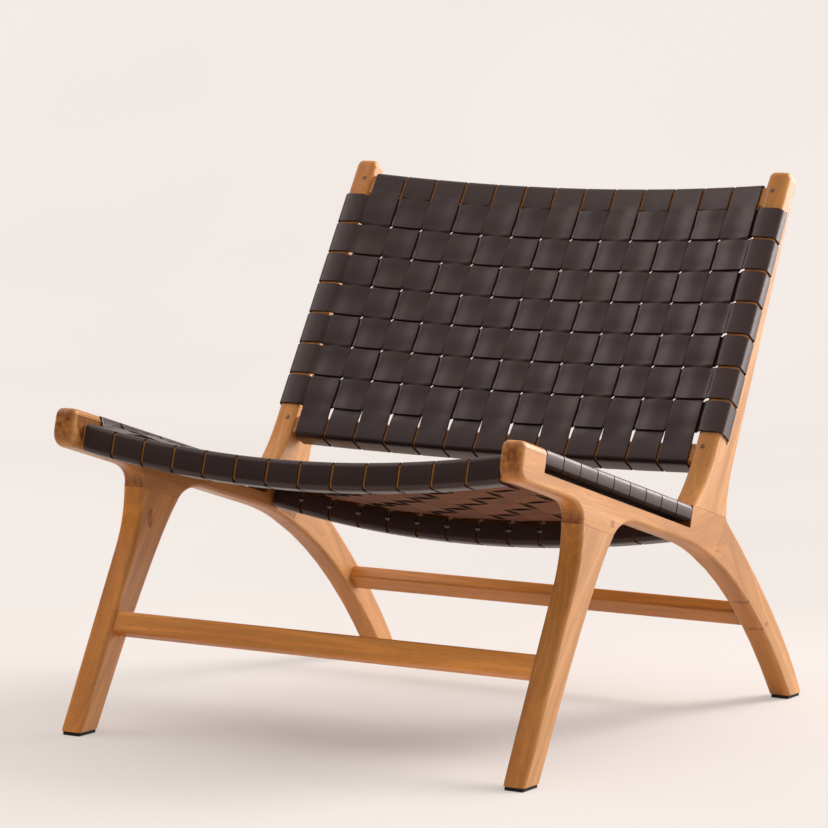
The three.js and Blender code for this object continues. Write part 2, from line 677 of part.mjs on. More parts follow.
function crossStrap(web, row, sidePath) {
  const edges = rowEdges(web, row).reverse();
  const paths = edges.map((along) => crossPath(web, row, along, sidePath));
  return strapGeometry(paths, (edge, u, v) => [u, edges[edge], v]);
}

// Materials and nodes
const teak = () => new THREE.MeshStandardMaterial({ color: 0xb98150, roughness: 0.5, metalness: 0 });
const leather = () => new THREE.MeshStandardMaterial({ color: 0x3c3331, roughness: 0.45, metalness: 0 });
const felt = () => new THREE.MeshStandardMaterial({ color: 0x1d1b1a, roughness: 0.9, metalness: 0 });

function node(group, name, geometry, material) {
  const mesh = new THREE.Mesh(geometry, material);
  mesh.name = name;
  group.add(mesh);
}

function turnedGroup(frame) {
  const group = new THREE.Group();
  frame.decompose(group.position, group.quaternion, group.scale);
  return group;
}

const chair = new THREE.Group();
const seat = turnedGroup(seatFrame);
const back = turnedGroup(backFrame);
const frontBar = turnedGroup(frontStretcherFrame);
const rearBar = turnedGroup(rearStretcherFrame);
chair.add(seat, back, frontBar, rearBar);

for (const [sideName, side] of SIDES) {
  const { rail, frontLeg, rearLeg, post } = sideBoards(side);
  node(chair, `side_rail_${sideName}`, geometryOf(rail), teak());
  node(chair, `front_leg_${sideName}`, geometryOf(frontLeg), teak());
  node(chair, `rear_leg_${sideName}`, geometryOf(rearLeg), teak());
  node(chair, `back_post_${sideName}`, geometryOf(post), teak());
  node(chair, `front_glide_${sideName}`, glide(side, frontToe), felt());
  node(chair, `rear_glide_${sideName}`, glide(side, rearToe), felt());
}
node(seat, 'front_seat_rail', dishedRail(seatWeb, seatWeb.foot), teak());
node(seat, 'rear_seat_rail', dishedRail(seatWeb, seatWeb.head), teak());
node(back, 'bottom_back_rail', dishedRail(backWeb, backWeb.foot), teak());
node(back, 'top_back_rail', dishedRail(backWeb, backWeb.head), teak());
node(frontBar, 'front_stretcher', stretcher(), teak());
node(rearBar, 'rear_stretcher', stretcher(), teak());

const numbered = (name, index) => `${name}_${String(index + 1).padStart(2, '0')}`;
for (let column = 0; column < COLUMNS; column += 1) {
  node(seat, numbered('seat_strap_long', column), lengthwiseStrap(seatWeb, column, true), leather());
  node(back, numbered('back_strap_upright', column), lengthwiseStrap(backWeb, column, false), leather());
}
for (let row = 0; row < SEAT_ROWS; row += 1) {
  node(seat, numbered('seat_strap_cross', row), crossStrap(seatWeb, row, seatSidePath), leather());
}
for (let row = 0; row < BACK_ROWS; row += 1) {
  node(back, numbered('back_strap_cross', row), crossStrap(backWeb, row, backSidePath), leather());
}

// The origin is on the floor, under the middle of the chair
const extent = new THREE.Box3().setFromObject(chair);
chair.position.y = -(extent.min.y + extent.max.y) / 2;

export default chair;
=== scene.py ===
import math
import random

import bmesh
import bpy
from mathutils import Matrix, Vector


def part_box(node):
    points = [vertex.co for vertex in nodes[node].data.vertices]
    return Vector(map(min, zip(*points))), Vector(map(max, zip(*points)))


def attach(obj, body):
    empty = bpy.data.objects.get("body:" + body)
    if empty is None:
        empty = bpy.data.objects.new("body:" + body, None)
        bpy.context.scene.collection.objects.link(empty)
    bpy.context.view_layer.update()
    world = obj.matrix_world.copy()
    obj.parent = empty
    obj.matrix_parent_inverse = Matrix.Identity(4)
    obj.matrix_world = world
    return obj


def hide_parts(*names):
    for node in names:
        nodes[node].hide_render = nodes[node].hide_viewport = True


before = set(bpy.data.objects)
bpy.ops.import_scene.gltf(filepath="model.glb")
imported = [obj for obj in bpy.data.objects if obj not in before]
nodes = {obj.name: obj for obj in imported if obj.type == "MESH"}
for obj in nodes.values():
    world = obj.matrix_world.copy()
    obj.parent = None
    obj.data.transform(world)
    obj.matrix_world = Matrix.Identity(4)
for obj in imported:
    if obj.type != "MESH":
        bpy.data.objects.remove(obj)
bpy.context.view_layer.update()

MM = 0.001
rng = random.Random(7)

# Sizes in millimetres, the same as in the part's source
OUTER, INNER = 325.0, 295.0  # faces of the side frames, from the middle
SEAT_ORIGIN = Vector((0, -383.793, 407))
SEAT_SLOPE = math.radians(15.3)
BACK_LEAN = math.radians(31.5)
POST_FOOT = 473.0
STRAP = 2.7  # thickness of the leather
TO_WOOD = 1.6  # from a strap's middle to the wood under it
CROSSING = 1.45  # from a strap's middle to the web's middle, at a crossing
COLUMNS, COLUMN_GAP, SIDE_GAP = 13, 3.2, 6.0
BAR_BOTTOM, RECESS = 18.0, 2.9
GROOVE_FOOT, GROOVE_HEAD, GROOVE_DEPTH = 25.0, 17.0, 12.0
EDGE_EASE = 70.0
FOOT_HEIGHT = 6.0
RAIL_LENGTH, RAIL_MIDDLE, POST_LENGTH = 556.0, 23.5, 481.5
SEAT_TAIL, BACK_TAIL = 24.0, 12.0
REAR_JOINT_RUN, REAR_JOINT_FALL, REAR_JOINT_LENGTH = 26.0, 56.6, 62.3

# Zones of a side frame: from and to along the seat or the back, and from and to in depth
SLOT_EDGES = [((57, 455), (1, 29))]
# Faces in the slot, which take painted shade
SLOT_SHADE_FACES = [((57, 455), (1, 29.5))]
GROOVE_EDGES = [((98, 431), (10, 30))]
SEAT_RAIL_ENDS = [((21, 47), (15, 46)), ((467, 493), (9, 41))]
BACK_RAIL_ENDS = [((61, 91), (2, 32)), ((427, 461), (3, 27))]
LEG_AND_POST_JOINTS = [((167, 257), (69.1, 70.1)), ((453.5, 557), (-0.5, 0.5))]
REAR_JOINT_TOP, REAR_JOINT_DEPTH, REAR_JOINT_NEAR = 556.2, (-1, 58), 0.6

# Rounding of the wood's edges, and where the fuller rounding of the noses and post tops fades
EDGE_ROUND, NOSE_ROUND, POST_TOP_ROUND, LARGEST_ROUND = 5.5, 8.0, 8.5, 8.5
BAR_ROUND, BAR_INNER_ROUND = 3.0, 4.2
NOSE_LENGTH, NOSE_DEPTH, NOSE_FADE = 60.0, 26.0, 22.0
POST_TOP_LENGTH, POST_TOP_FADE = 9.0, 8.0
ON_FACE, ON_CORNER = 0.2, 0.3
# Angles between faces: flat enough to join, sharp enough to round, and shaded as an edge
JOIN_ANGLE, ROUND_ANGLE = math.radians(0.6), math.radians(35)
WOOD_EDGE_ANGLE, STRAP_EDGE_ANGLE = math.radians(32), math.radians(40)
WELD, SLIVER = 2e-6, 1e-6  # in metres

# Rounding of the wood under a wrapped strap
RAIL_WRAP = 3.6
BAR_WRAP_LOW, BAR_WRAP_TOP = 2.5, 3.0
POST_WRAP_LOW, POST_WRAP_TOP = 0.8, 6.0
WRAP_END = 3.0  # from a side frame's inner face to where a cross strap leaves it
# Stations at each end of a cross seat strap that take a dark material as painted shade in the slot
SLOT_SHADE_STATION_COUNT = 5  # of a cross seat strap, at each end

# Section of a strap: the nip of its edges, and the places from an edge where it bends
NIP = 0.5
SECTION_STEPS = [3.3, 7.0, 11.0, 15.5]
RUN_STEPS = [0.0, 2.5, 6.0, 10.5, 15.5]
RAIL_STEPS, SIDE_STEPS, WRAP_STEPS = 6, 5, 5  # stations beside a rail, beside a side frame and round a corner
GRAIN, FLESH, CUT, RIM = range(4)  # places of the leather's materials in a strap's mesh

# Softness of the leather: how far its edges ease at a crossing, and over what length; and the length
# over which it lifts off a rail
EASE, EASE_LENGTH, LIFT = 0.8, 20.0, 10.0
# Bulge of a strap's edges as a share of the gap beside it
SWELL = 0.27

# Small fasteners: tacks from a strap's end, and plugs over the joints of the back rails
TACK_RADIUS, TACK_HEIGHT, SEAT_TACK, BACK_TACK = 4.2, 2.4, 8.0, 7.0
PLUG_RADIUS, PLUG_HEIGHT, PLUG_X, PLUG_PLACES = 3.3, 0.3, 306, (451.5, 84)

# Arched rear leg: from the rail's end to the heel, and the line that its grain follows
HEEL_REACH, HEEL_TO_FOOT, FOOT_LIFT = 239, 20, 5
ARCH_BEND, ARCH_START, ARCH_STEPS = 75, 60, 8

# Painted light and shade: brightness of single boards against the rest, set for the light and shade each
# board gets, and a painted sheen on broad and rear faces against painted shade on front edges
BOARD_PAINTED_LIGHT = {
    "front_leg_left": 0.9, "front_leg_right": 1.3, "front_stretcher": 1.45, "back_post_right": 1.32,
    "rear_leg_left": 0.9, "rear_leg_right": 0.94, "rear_seat_rail": 0.4,
}
# Painted sheen on broad and rear faces, painted shade on front edges
PAINTED_SHEEN_TINT, PAINTED_SHADE_TINT = Vector((1.04, 1.14, 2.25)), Vector((1.03, 0.9, 0.82))
# Painted shade on the side rails' faces in the slot, as a share of the end grain's darkening
SLOT_PAINTED_SHADE = 1.6
STRAP_TONES = (0.82, 1.18)


class Web:
    """The seat or the back: u runs along the web, v towards the sitter, both from its origin."""

    def __init__(self, origin, angle, foot, head, side_depth, rows, row_gap, rows_from, rows_length):
        self.origin = origin
        self.along = Vector((0, math.cos(angle), math.sin(angle)))
        self.front = Vector((0, -math.sin(angle), math.cos(angle)))
        self.foot, self.head, self.side_depth = foot, head, side_depth
        self.rows, self.row_gap = rows, row_gap
        self.rows_from, self.rows_length = rows_from, rows_length

    def place(self, x, u, v):
        return (self.origin + Vector((x, 0, 0)) + self.along * u + self.front * v) * MM

    def depth(self, x, u):
        """How far the dished web lies behind its plane."""
        foot, head, side = self.foot, self.head, self.side_depth
        share = (u - foot["inner"]) / (head["inner"] - foot["inner"])
        middle = foot["middle"] + (head["middle"] - foot["middle"]) * share
        near_foot = math.exp(-(u - foot["inner"]) / EDGE_EASE)
        near_head = math.exp(-(head["inner"] - u) / EDGE_EASE)
        edge = side + (foot["edge"] - side) * near_foot + (head["edge"] - side) * near_head
        return edge + (middle - edge) * (1 - (x / INNER) ** 2)

    def row_edges(self, row):
        width = (self.rows_length - (self.rows - 1) * self.row_gap) / self.rows
        low = self.rows_from + row * (width + self.row_gap)
        return low, low + width


def rail(start, width, depth, edge, middle, at_foot):
    """A dished rail: its faces along the web, its depth, and how deep its top lies at the edge and middle."""
    inner = start + width if at_foot else start
    outer = start if at_foot else start + width
    return dict(inner=inner, outer=outer, depth=depth, edge=edge, middle=middle, out=-1 if at_foot else 1)


seat = Web(
    SEAT_ORIGIN, -SEAT_SLOPE,
    foot=rail(start=22, width=24, depth=28, edge=15.3, middle=41.8, at_foot=True),
    head=rail(start=468, width=24, depth=28, edge=9.3, middle=36.3, at_foot=False),
    side_depth=5.0, rows=9, row_gap=1.5, rows_from=59.0, rows_length=394.0,
)
back = Web(
    seat.place(0, POST_FOOT, 0) / MM, math.pi / 2 - BACK_LEAN,
    foot=rail(start=62, width=28, depth=26, edge=2.4, middle=13.4, at_foot=True),
    head=rail(start=428, width=31.5, depth=21, edge=2.4, middle=27.4, at_foot=False),
    side_depth=2.4, rows=7, row_gap=3.6, rows_from=104.0, rows_length=321.0,
)


def column_edges(column):
    width = (2 * (INNER - SIDE_GAP) - (COLUMNS - 1) * COLUMN_GAP) / COLUMNS
    low = SIDE_GAP - INNER + column * (width + COLUMN_GAP)
    return low, low + width


# Procedural materials
def new_material(name):
    material = bpy.data.materials.new(name)
    material.use_nodes = True
    tree = material.node_tree
    shader = tree.nodes["Principled BSDF"]
    return material, tree, shader


def node(tree, kind, **values):
    made = tree.nodes.new(kind)
    for key, value in values.items():
        setattr(made, key, value)
    return made


def feed(tree, target, value):
    if isinstance(value, bpy.types.NodeSocket):
        tree.links.new(value, target)
    else:
        target.default_value = value


def math_node(tree, operation, *values):
    made = node(tree, "ShaderNodeMath", operation=operation)
    for socket, value in zip(made.inputs, values):
        feed(tree, socket, value)
    return made.outputs[0]


def stretched(tree, vector, scale):
    made = node(tree, "ShaderNodeMapping")
    tree.links.new(vector, made.inputs["Vector"])
    made.inputs["Scale"].default_value = scale
    return made.outputs["Vector"]


def noise(tree, vector, scale, detail=3.0, rough=0.55, distortion=0.0):
    made = node(tree, "ShaderNodeTexNoise")
    tree.links.new(vector, made.inputs["Vector"])
    made.inputs["Scale"].default_value = scale
    made.inputs["Detail"].default_value = detail
    made.inputs["Roughness"].default_value = rough
    made.inputs["Distortion"].default_value = distortion
    return made.outputs["Fac"]


def ramp(tree, value, stops):
    made = node(tree, "ShaderNodeValToRGB")
    tree.links.new(value, made.inputs["Fac"])
    elements = made.color_ramp.elements
    while len(elements) < len(stops):
        elements.new(0.5)
    for element, (place, colour) in zip(elements, stops):
        element.position = place
        element.color = (*colour, 1)
    return made.outputs["Color"]


def grey(tree, value, low, high, dark=0.0, light=1.0):
    return ramp(tree, value, [(low, (dark,) * 3), (high, (light,) * 3)])


def mix_colour(tree, blend, factor, a, b):
    made = node(tree, "ShaderNodeMix", data_type="RGBA", blend_type=blend)
    feed(tree, made.inputs[0], factor)
    feed(tree, made.inputs[6], a if isinstance(a, bpy.types.NodeSocket) else (*a, 1))
    feed(tree, made.inputs[7], b if isinstance(b, bpy.types.NodeSocket) else (*b, 1))
    return made.outputs[2]


def bump(tree, shader, height, strength, distance):
    made = node(tree, "ShaderNodeBump")
    made.inputs["Strength"].default_value = strength
    made.inputs["Distance"].default_value = distance
    tree.links.new(height, made.inputs["Height"])
    tree.links.new(made.outputs["Normal"], shader.inputs["Normal"])


def attribute(tree, name, output):
    return node(tree, "ShaderNodeAttribute", attribute_name=name).outputs[output]


# Knots and drying cracks in the wood: place in metres, and half size along x, y and z in millimetres
KNOTS = [
    ((-0.295, -0.2232, 0.2549), (12, 6.5, 14)),
    ((0.311, -0.3887, 0.389), (8, 12, 9)),
    ((0.325, -0.163, 0.287), (6, 6, 6)),
    ((-0.303, -0.389, 0.393), (4, 12, 3)),
    ((-0.315, -0.389, 0.386), (5, 12, 3.5)),
    ((0.325, 0.2757, 0.1097), (6, 5, 4)),
    ((-0.325, 0.05, 0.262), (6, 11, 8)),
    ((-0.325, 0.30, 0.10), (6, 8, 12)),
]
CRACKS = [
    ((0.314, 0.2195, 0.146), (17, 6, 3.4)),
    ((0.3125, 0.2655, 0.105), (17, 6, 3.4)),
]
# Colour of end grain, also used as painted shade in the side rails' slot
END_GRAIN_AND_SLOT_SHADE = (0.5, 0.41, 0.35)
KNOT_STOPS = [
    (0.4, (0.72, 0.6, 0.52)), (0.6, (0.42, 0.3, 0.23)), (0.75, (0.75, 0.66, 0.6)), (1.0, (1, 1, 1)),
]
CRACK_STOPS = [(0.3, (0.2, 0.12, 0.08)), (0.65, (0.6, 0.48, 0.4)), (1.0, (1, 1, 1))]


def distance_from(tree, where, flaws):
    """Distance from the nearest flaw in flaw sizes, with ragged edges."""
    ragged = noise(tree, where, 170.0, 2.0)
    nearest = None
    for place, size in flaws:
        offset = node(tree, "ShaderNodeVectorMath", operation="SUBTRACT")
        tree.links.new(where, offset.inputs[0])
        offset.inputs[1].default_value = place
        scaled = node(tree, "ShaderNodeVectorMath", operation="DIVIDE")
        tree.links.new(offset.outputs["Vector"], scaled.inputs[0])
        scaled.inputs[1].default_value = [v * MM for v in size]
        length = node(tree, "ShaderNodeVectorMath", operation="LENGTH")
        tree.links.new(scaled.outputs["Vector"], length.inputs[0])
        reach = length.outputs["Value"]
        nearest = reach if nearest is None else math_node(tree, "MINIMUM", nearest, reach)
    return math_node(tree, "ADD", nearest, math_node(tree, "MULTIPLY_ADD", ragged, 0.8, -0.4))


def teak_material(name, light, mid, dark):
    """Oiled teak. The attribute grain holds metres along and across the fibres."""
    material, tree, shader = new_material(name)
    grain = attribute(tree, "grain", "Vector")
    figure = noise(tree, stretched(tree, grain, (0.9, 14, 14)), 1.0, 2.0, 0.5, 0.2)
    rings = math_node(tree, "SINE", math_node(tree, "MULTIPLY", figure, 70.0))
    lines = grey(tree, rings, -0.2, 0.95, 0.45, 1.0)
    tones = noise(tree, stretched(tree, grain, (1.6, 26, 26)), 1.0, 4.0, 0.55, 0.1)
    fibres = noise(tree, stretched(tree, grain, (22, 620, 620)), 1.0, 3.0, 0.6)
    pores = noise(tree, stretched(tree, grain, (70, 1500, 1500)), 1.0, 1.0, 0.5)
    colour = ramp(tree, tones, [(0.3, dark), (0.52, mid), (0.72, light)])
    colour = mix_colour(tree, "MULTIPLY", 0.24, colour, lines)
    colour = mix_colour(tree, "MULTIPLY", 0.35, colour, grey(tree, fibres, 0.3, 0.7, 0.5, 1.1))
    colour = mix_colour(tree, "MULTIPLY", 0.5, colour, grey(tree, pores, 0.27, 0.36, 0.4, 1.0))
    where = node(tree, "ShaderNodeTexCoord").outputs["Object"]
    knots = ramp(tree, distance_from(tree, where, KNOTS), KNOT_STOPS)
    cracks = ramp(tree, distance_from(tree, where, CRACKS), CRACK_STOPS)
    colour = mix_colour(tree, "MULTIPLY", 1.0, colour, knots)
    colour = mix_colour(tree, "MULTIPLY", 1.0, colour, cracks)
    # Darker, mottled end grain; on the side rails' slot faces the same darkening is painted shade
    mottle = grey(tree, noise(tree, where, 130.0, 3.0), 0.35, 0.62, 0.35, 1.0)
    end = math_node(tree, "MULTIPLY", attribute(tree, "end", "Fac"), mottle)
    colour = mix_colour(tree, "MULTIPLY", end, colour, END_GRAIN_AND_SLOT_SHADE)
    # The tone attribute carries painted light: each board's painted brightness, a painted sheen on broad
    # faces and painted shade on front edges
    colour = mix_colour(tree, "MULTIPLY", 1.0, colour, attribute(tree, "tone", "Color"))
    tree.links.new(colour, shader.inputs["Base Color"])
    gloss = noise(tree, stretched(tree, grain, (9, 60, 60)), 1.0, 3.0)
    tree.links.new(grey(tree, gloss, 0.3, 0.7, 0.29, 0.43), shader.inputs["Roughness"])
    shader.inputs["Specular IOR Level"].default_value = 0.46
    bump(tree, shader, fibres, 0.2, 0.0004)
    return material


def leather_material(name, colour, rough, cell, strength, specular):
    """Leather with a fine grain; the attribute tone varies it from strap to strap."""
    material, tree, shader = new_material(name)
    where = node(tree, "ShaderNodeTexCoord").outputs["Object"]
    cells = node(tree, "ShaderNodeTexVoronoi", feature="SMOOTH_F1")
    tree.links.new(where, cells.inputs["Vector"])
    cells.inputs["Scale"].default_value = cell
    fine = noise(tree, where, cell * 2.3, 2.0)
    cloud = noise(tree, where, 26.0, 4.0, 0.6, 0.3)
    tone = attribute(tree, "tone", "Fac")
    shade = math_node(tree, "MULTIPLY_ADD", cloud, 0.5, 0.75)
    shade = math_node(tree, "MULTIPLY", shade, tone)
    tint = node(tree, "ShaderNodeCombineColor")
    for socket in tint.inputs:
        tree.links.new(shade, socket)
    base = mix_colour(tree, "MULTIPLY", 1.0, colour, tint.outputs["Color"])
    tree.links.new(base, shader.inputs["Base Color"])
    scuffs = noise(tree, where, 60.0, 5.0, 0.65)
    tree.links.new(grey(tree, scuffs, 0.3, 0.72, *rough), shader.inputs["Roughness"])
    shader.inputs["Specular IOR Level"].default_value = specular
    shader.inputs["Specular Tint"].default_value = (1.0, 0.79, 0.77, 1.0)
    height = math_node(tree, "ADD", cells.outputs["Distance"], math_node(tree, "MULTIPLY", fine, 0.4))
    bump(tree, shader, height, strength, 0.0004)
    return material


def plain_material(name, colour, rough, metallic, scale, spread):
    """A simple finish with fine variation in gloss."""
    material, tree, shader = new_material(name)
    where = node(tree, "ShaderNodeTexCoord").outputs["Object"]
    speck = noise(tree, where, scale, 4.0)
    tree.links.new(grey(tree, speck, 0.3, 0.7, rough - spread, rough + spread), shader.inputs["Roughness"])
    shaded = mix_colour(tree, "MULTIPLY", 0.35, colour, grey(tree, speck, 0.25, 0.75, 0.6, 1.1))
    tree.links.new(shaded, shader.inputs["Base Color"])
    shader.inputs["Metallic"].default_value = metallic
    bump(tree, shader, speck, 0.1, 0.0002)
    return material


teak = teak_material(
    "teak", light=(0.81, 0.365, 0.076), mid=(0.71, 0.30, 0.052), dark=(0.55, 0.205, 0.031))
teak_plug = teak_material(
    "teak_plug", light=(0.36, 0.15, 0.06), mid=(0.28, 0.11, 0.04), dark=(0.18, 0.07, 0.025))
hide = leather_material(
    "leather_grain_side", (0.023, 0.0095, 0.008), rough=(0.29, 0.4), cell=1100.0, strength=0.1, specular=0.6)
flesh = leather_material(
    "leather_flesh_side", (0.205, 0.085, 0.043), rough=(0.78, 0.95), cell=700.0, strength=0.5, specular=0.25)
cut = leather_material(
    "leather_cut_edge_and_slot_shade", (0.034, 0.02, 0.016), rough=(0.7, 0.85), cell=900.0, strength=0.3, specular=0.12)
rim = leather_material(
    "leather_rim", (0.062, 0.035, 0.029), rough=(0.55, 0.7), cell=900.0, strength=0.1, specular=0.2)
rubber = plain_material(
    "glide_rubber", (0.016, 0.015, 0.014), rough=0.8, metallic=0.0, scale=900.0, spread=0.1)
nickel = plain_material(
    "tack_nickel", (0.11, 0.095, 0.08), rough=0.22, metallic=1.0, scale=700.0, spread=0.08)


# Meshes
def new_object(name, mesh):
    made = bpy.data.objects.new(name, mesh)
    bpy.context.scene.collection.objects.link(made)
    return made


def set_attribute(mesh, name, kind, values, domain="POINT"):
    data = mesh.attributes.new(name, kind, domain)
    if kind == "FLOAT_VECTOR":
        data.data.foreach_set("vector", [c for value in values for c in value])
    else:
        data.data.foreach_set("value", values)


def finish_piece(piece, replaced):
    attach(piece, "root")
    if replaced:
        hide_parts(*replaced)


# Straps
def ring_points(width):
    """Section of a strap, and each face's material: grain side, flesh side, cut edge or rim."""
    half = STRAP / 2
    inner = SECTION_STEPS + [width / 2] + [width - a for a in reversed(SECTION_STEPS)]
    top = [(NIP, half)] + [(a, half) for a in inner] + [(width - NIP, half)]
    right = [(width, half - NIP), (width, NIP - half)]
    low = [(width - a, -b) for a, b in top]
    left = [(0.0, NIP - half), (0.0, half - NIP)]
    return top + right + low + left, [GRAIN] * 10 + [RIM, CUT, CUT] + [FLESH] * 10 + [CUT, CUT, RIM]


def smooth(a, b, share):
    share = min(1.0, max(0.0, share))
    return a + (b - a) * share * share * (3 - 2 * share)


def ease(distance):
    """How far a strap gives way at a distance from the edge of the strap it crosses."""
    return smooth(EASE, 0.0, distance / EASE_LENGTH)


def run_stations(edges):
    """Places along a run, closer together towards a crossing's ends."""
    low, high = edges
    middle = low + (high - low) / 2
    return [low + s for s in RUN_STEPS] + [middle] + [high - s for s in reversed(RUN_STEPS)]


def crossing_height(run, run_edges, side, side_edges, on_top):
    """Height over the web's middle at a crossing, where the two straps bend alike and keep apart."""
    from_end = min(run - run_edges[0], run_edges[1] - run)
    from_cut = min(side - side_edges[0], side_edges[1] - side)
    height = CROSSING * (1 - ease(from_end) + ease(from_cut))
    return height if on_top else -height


def swell(run, run_edges, gap):
    """How far a strap's edges bulge between the corners of a crossing."""
    along = (2 * run - run_edges[0] - run_edges[1]) / (run_edges[1] - run_edges[0])
    return SWELL * gap * (1 - along * along)


def arc(corner, before, after, radius):
    """Centre line of a strap round a corner, from one outward normal to the next."""
    points = []
    for step in range(WRAP_STEPS + 1):
        angle = math.pi / 2 * step / WRAP_STEPS
        normal = before * math.cos(angle) + after * math.sin(angle)
        points.append((corner - (before + after) * radius + normal * (radius + TO_WOOD), normal))
    return points


def rail_wrap(part, tail_on_inner_face):
    """Points round a dished rail from the tacked tail, with v measured from the rail's top."""
    out, depth = part["out"], part["depth"]
    inner_face, under = Vector((-out, 0)), Vector((0, -1))
    outer_face, top = Vector((out, 0)), Vector((0, 1))
    path = []
    if tail_on_inner_face:
        path.append((Vector((part["inner"] - out * TO_WOOD, SEAT_TAIL - depth)), inner_face))
        path += arc(Vector((part["inner"], -depth)), inner_face, under, RAIL_WRAP)
    else:
        path.append((Vector((part["inner"] + out * BACK_TAIL, -depth - TO_WOOD)), under))
    path += arc(Vector((part["outer"], -depth)), under, outer_face, RAIL_WRAP)
    path += arc(Vector((part["outer"], 0)), outer_face, top, RAIL_WRAP)
    return path


def long_stations(web, column, tail_on_inner_face):
    """Stations of a lengthwise strap: each gives u, v, the normal and the edges' bulge at any x across it."""
    edges = column_edges(column)
    stations = []

    def wrapped(part, point, normal):
        def at(x):
            top = -web.depth(x, part["inner"]) - TO_WOOD
            return point.x, top + point.y, normal, 0.0
        return at

    def woven(u, height, bulge=0.0):
        def at(x):
            return u, height(x) - web.depth(x, u), Vector((0, 1)), bulge
        return at

    def over_rail(part, step, row, end):
        """Eases from the rail's top to the nearest crossing; a strap that goes over it lifts off early."""
        on_top = (column + row) % 2 == 0
        begin = part["inner"] + part["out"] * (LIFT if on_top else 0.0)
        u = begin + (end - begin) * step
        def at(x):
            start = -web.depth(x, part["inner"])
            rise = crossing_height(end, web.row_edges(row), x, edges, on_top)
            return u, smooth(start, rise - web.depth(x, end), step), Vector((0, 1)), 0.0
        return at

    foot = [wrapped(web.foot, *entry) for entry in rail_wrap(web.foot, tail_on_inner_face)]
    head = [wrapped(web.head, *entry) for entry in rail_wrap(web.head, tail_on_inner_face)]
    stations += foot
    first, last = web.row_edges(0)[0], web.row_edges(web.rows - 1)[1]
    stations += [over_rail(web.foot, step / RAIL_STEPS, 0, first) for step in range(RAIL_STEPS)]
    for row in range(web.rows):
        span = web.row_edges(row)
        on_top = (column + row) % 2 == 0
        for u in run_stations(span):
            height = lambda x, u=u, s=span, t=on_top: crossing_height(u, s, x, edges, t)
            stations.append(woven(u, height, swell(u, span, COLUMN_GAP)))
        if row + 1 < web.rows:
            middle = (span[1] + web.row_edges(row + 1)[0]) / 2
            stations.append(woven(middle, lambda x: 0.0))
    for step in range(1, RAIL_STEPS + 1):
        stations.append(over_rail(web.head, 1 - step / RAIL_STEPS, web.rows - 1, last))
    return stations + head[::-1], edges


def side_wrap(outer, top, low, tail, low_radius, top_radius):
    """Points round a bar on the side at -X, from the tucked tail to the bar's front."""
    under, outside, front = Vector((0, -1)), Vector((-1, 0)), Vector((0, 1))
    path = [(Vector((-tail, low - TO_WOOD)), under)]
    path += arc(Vector((-outer, low)), under, outside, low_radius)
    path += arc(Vector((-outer, top)), outside, front, top_radius)
    return path


def seat_side(u):
    """A cross seat strap's way round the slotted bar, the same at any u, and its height on the bar."""
    path = side_wrap(OUTER - RECESS, -RECESS, -BAR_BOTTOM, INNER + TO_WOOD, BAR_WRAP_LOW, BAR_WRAP_TOP)
    return path, TO_WOOD - RECESS


def back_side(u):
    """A cross back strap's way round the post into its groove, and its height on the post."""
    share = (u - back.rows_from) / back.rows_length
    groove = GROOVE_FOOT + (GROOVE_HEAD - GROOVE_FOOT) * share
    tucked = OUTER - GROOVE_DEPTH + STRAP
    return side_wrap(OUTER, 0.0, TO_WOOD - groove, tucked, POST_WRAP_LOW, POST_WRAP_TOP), TO_WOOD


def cross_stations(web, row, side):
    """Stations of a cross strap: each gives x, v, the normal and the edges' bulge at any u across it."""
    edges = web.row_edges(row)
    count = len(side(edges[0])[0])

    def wrapped(index, mirror):
        def at(u):
            point, normal = side(u)[0][index]
            return mirror * point.x, point.y, Vector((mirror * normal.x, normal.y)), 0.0
        return at

    def woven(x, height, bulge=0.0):
        def at(u):
            return x, height(u) - web.depth(x, u), Vector((0, 1)), bulge
        return at

    def beside(share, mirror):
        """Eases from the bar or post to the outermost crossing."""
        start = INNER + WRAP_END
        end_column = 0 if mirror < 0 else COLUMNS - 1
        span = column_edges(end_column)
        end = span[0] if mirror < 0 else span[1]
        x = mirror * start + (end - mirror * start) * share
        def at(u):
            on_top = (end_column + row) % 2 == 1
            rise = crossing_height(end, span, u, edges, on_top)
            return x, smooth(side(u)[1], rise - web.depth(end, u), share), Vector((0, 1)), 0.0
        return at

    stations = [wrapped(index, 1) for index in range(count)]
    stations += [beside(step / SIDE_STEPS, -1) for step in range(SIDE_STEPS)]
    for column in range(COLUMNS):
        span = column_edges(column)
        on_top = (column + row) % 2 == 1
        for x in run_stations(span):
            height = lambda u, x=x, s=span, t=on_top: crossing_height(x, s, u, edges, t)
            stations.append(woven(x, height, swell(x, span, web.row_gap)))
        if column + 1 < COLUMNS:
            middle = (span[1] + column_edges(column + 1)[0]) / 2
            stations.append(woven(middle, lambda u: 0.0))
    stations += [beside(1 - step / SIDE_STEPS, 1) for step in range(1, SIDE_STEPS + 1)]
    stations += [wrapped(index, -1) for index in reversed(range(count))]
    return stations, edges


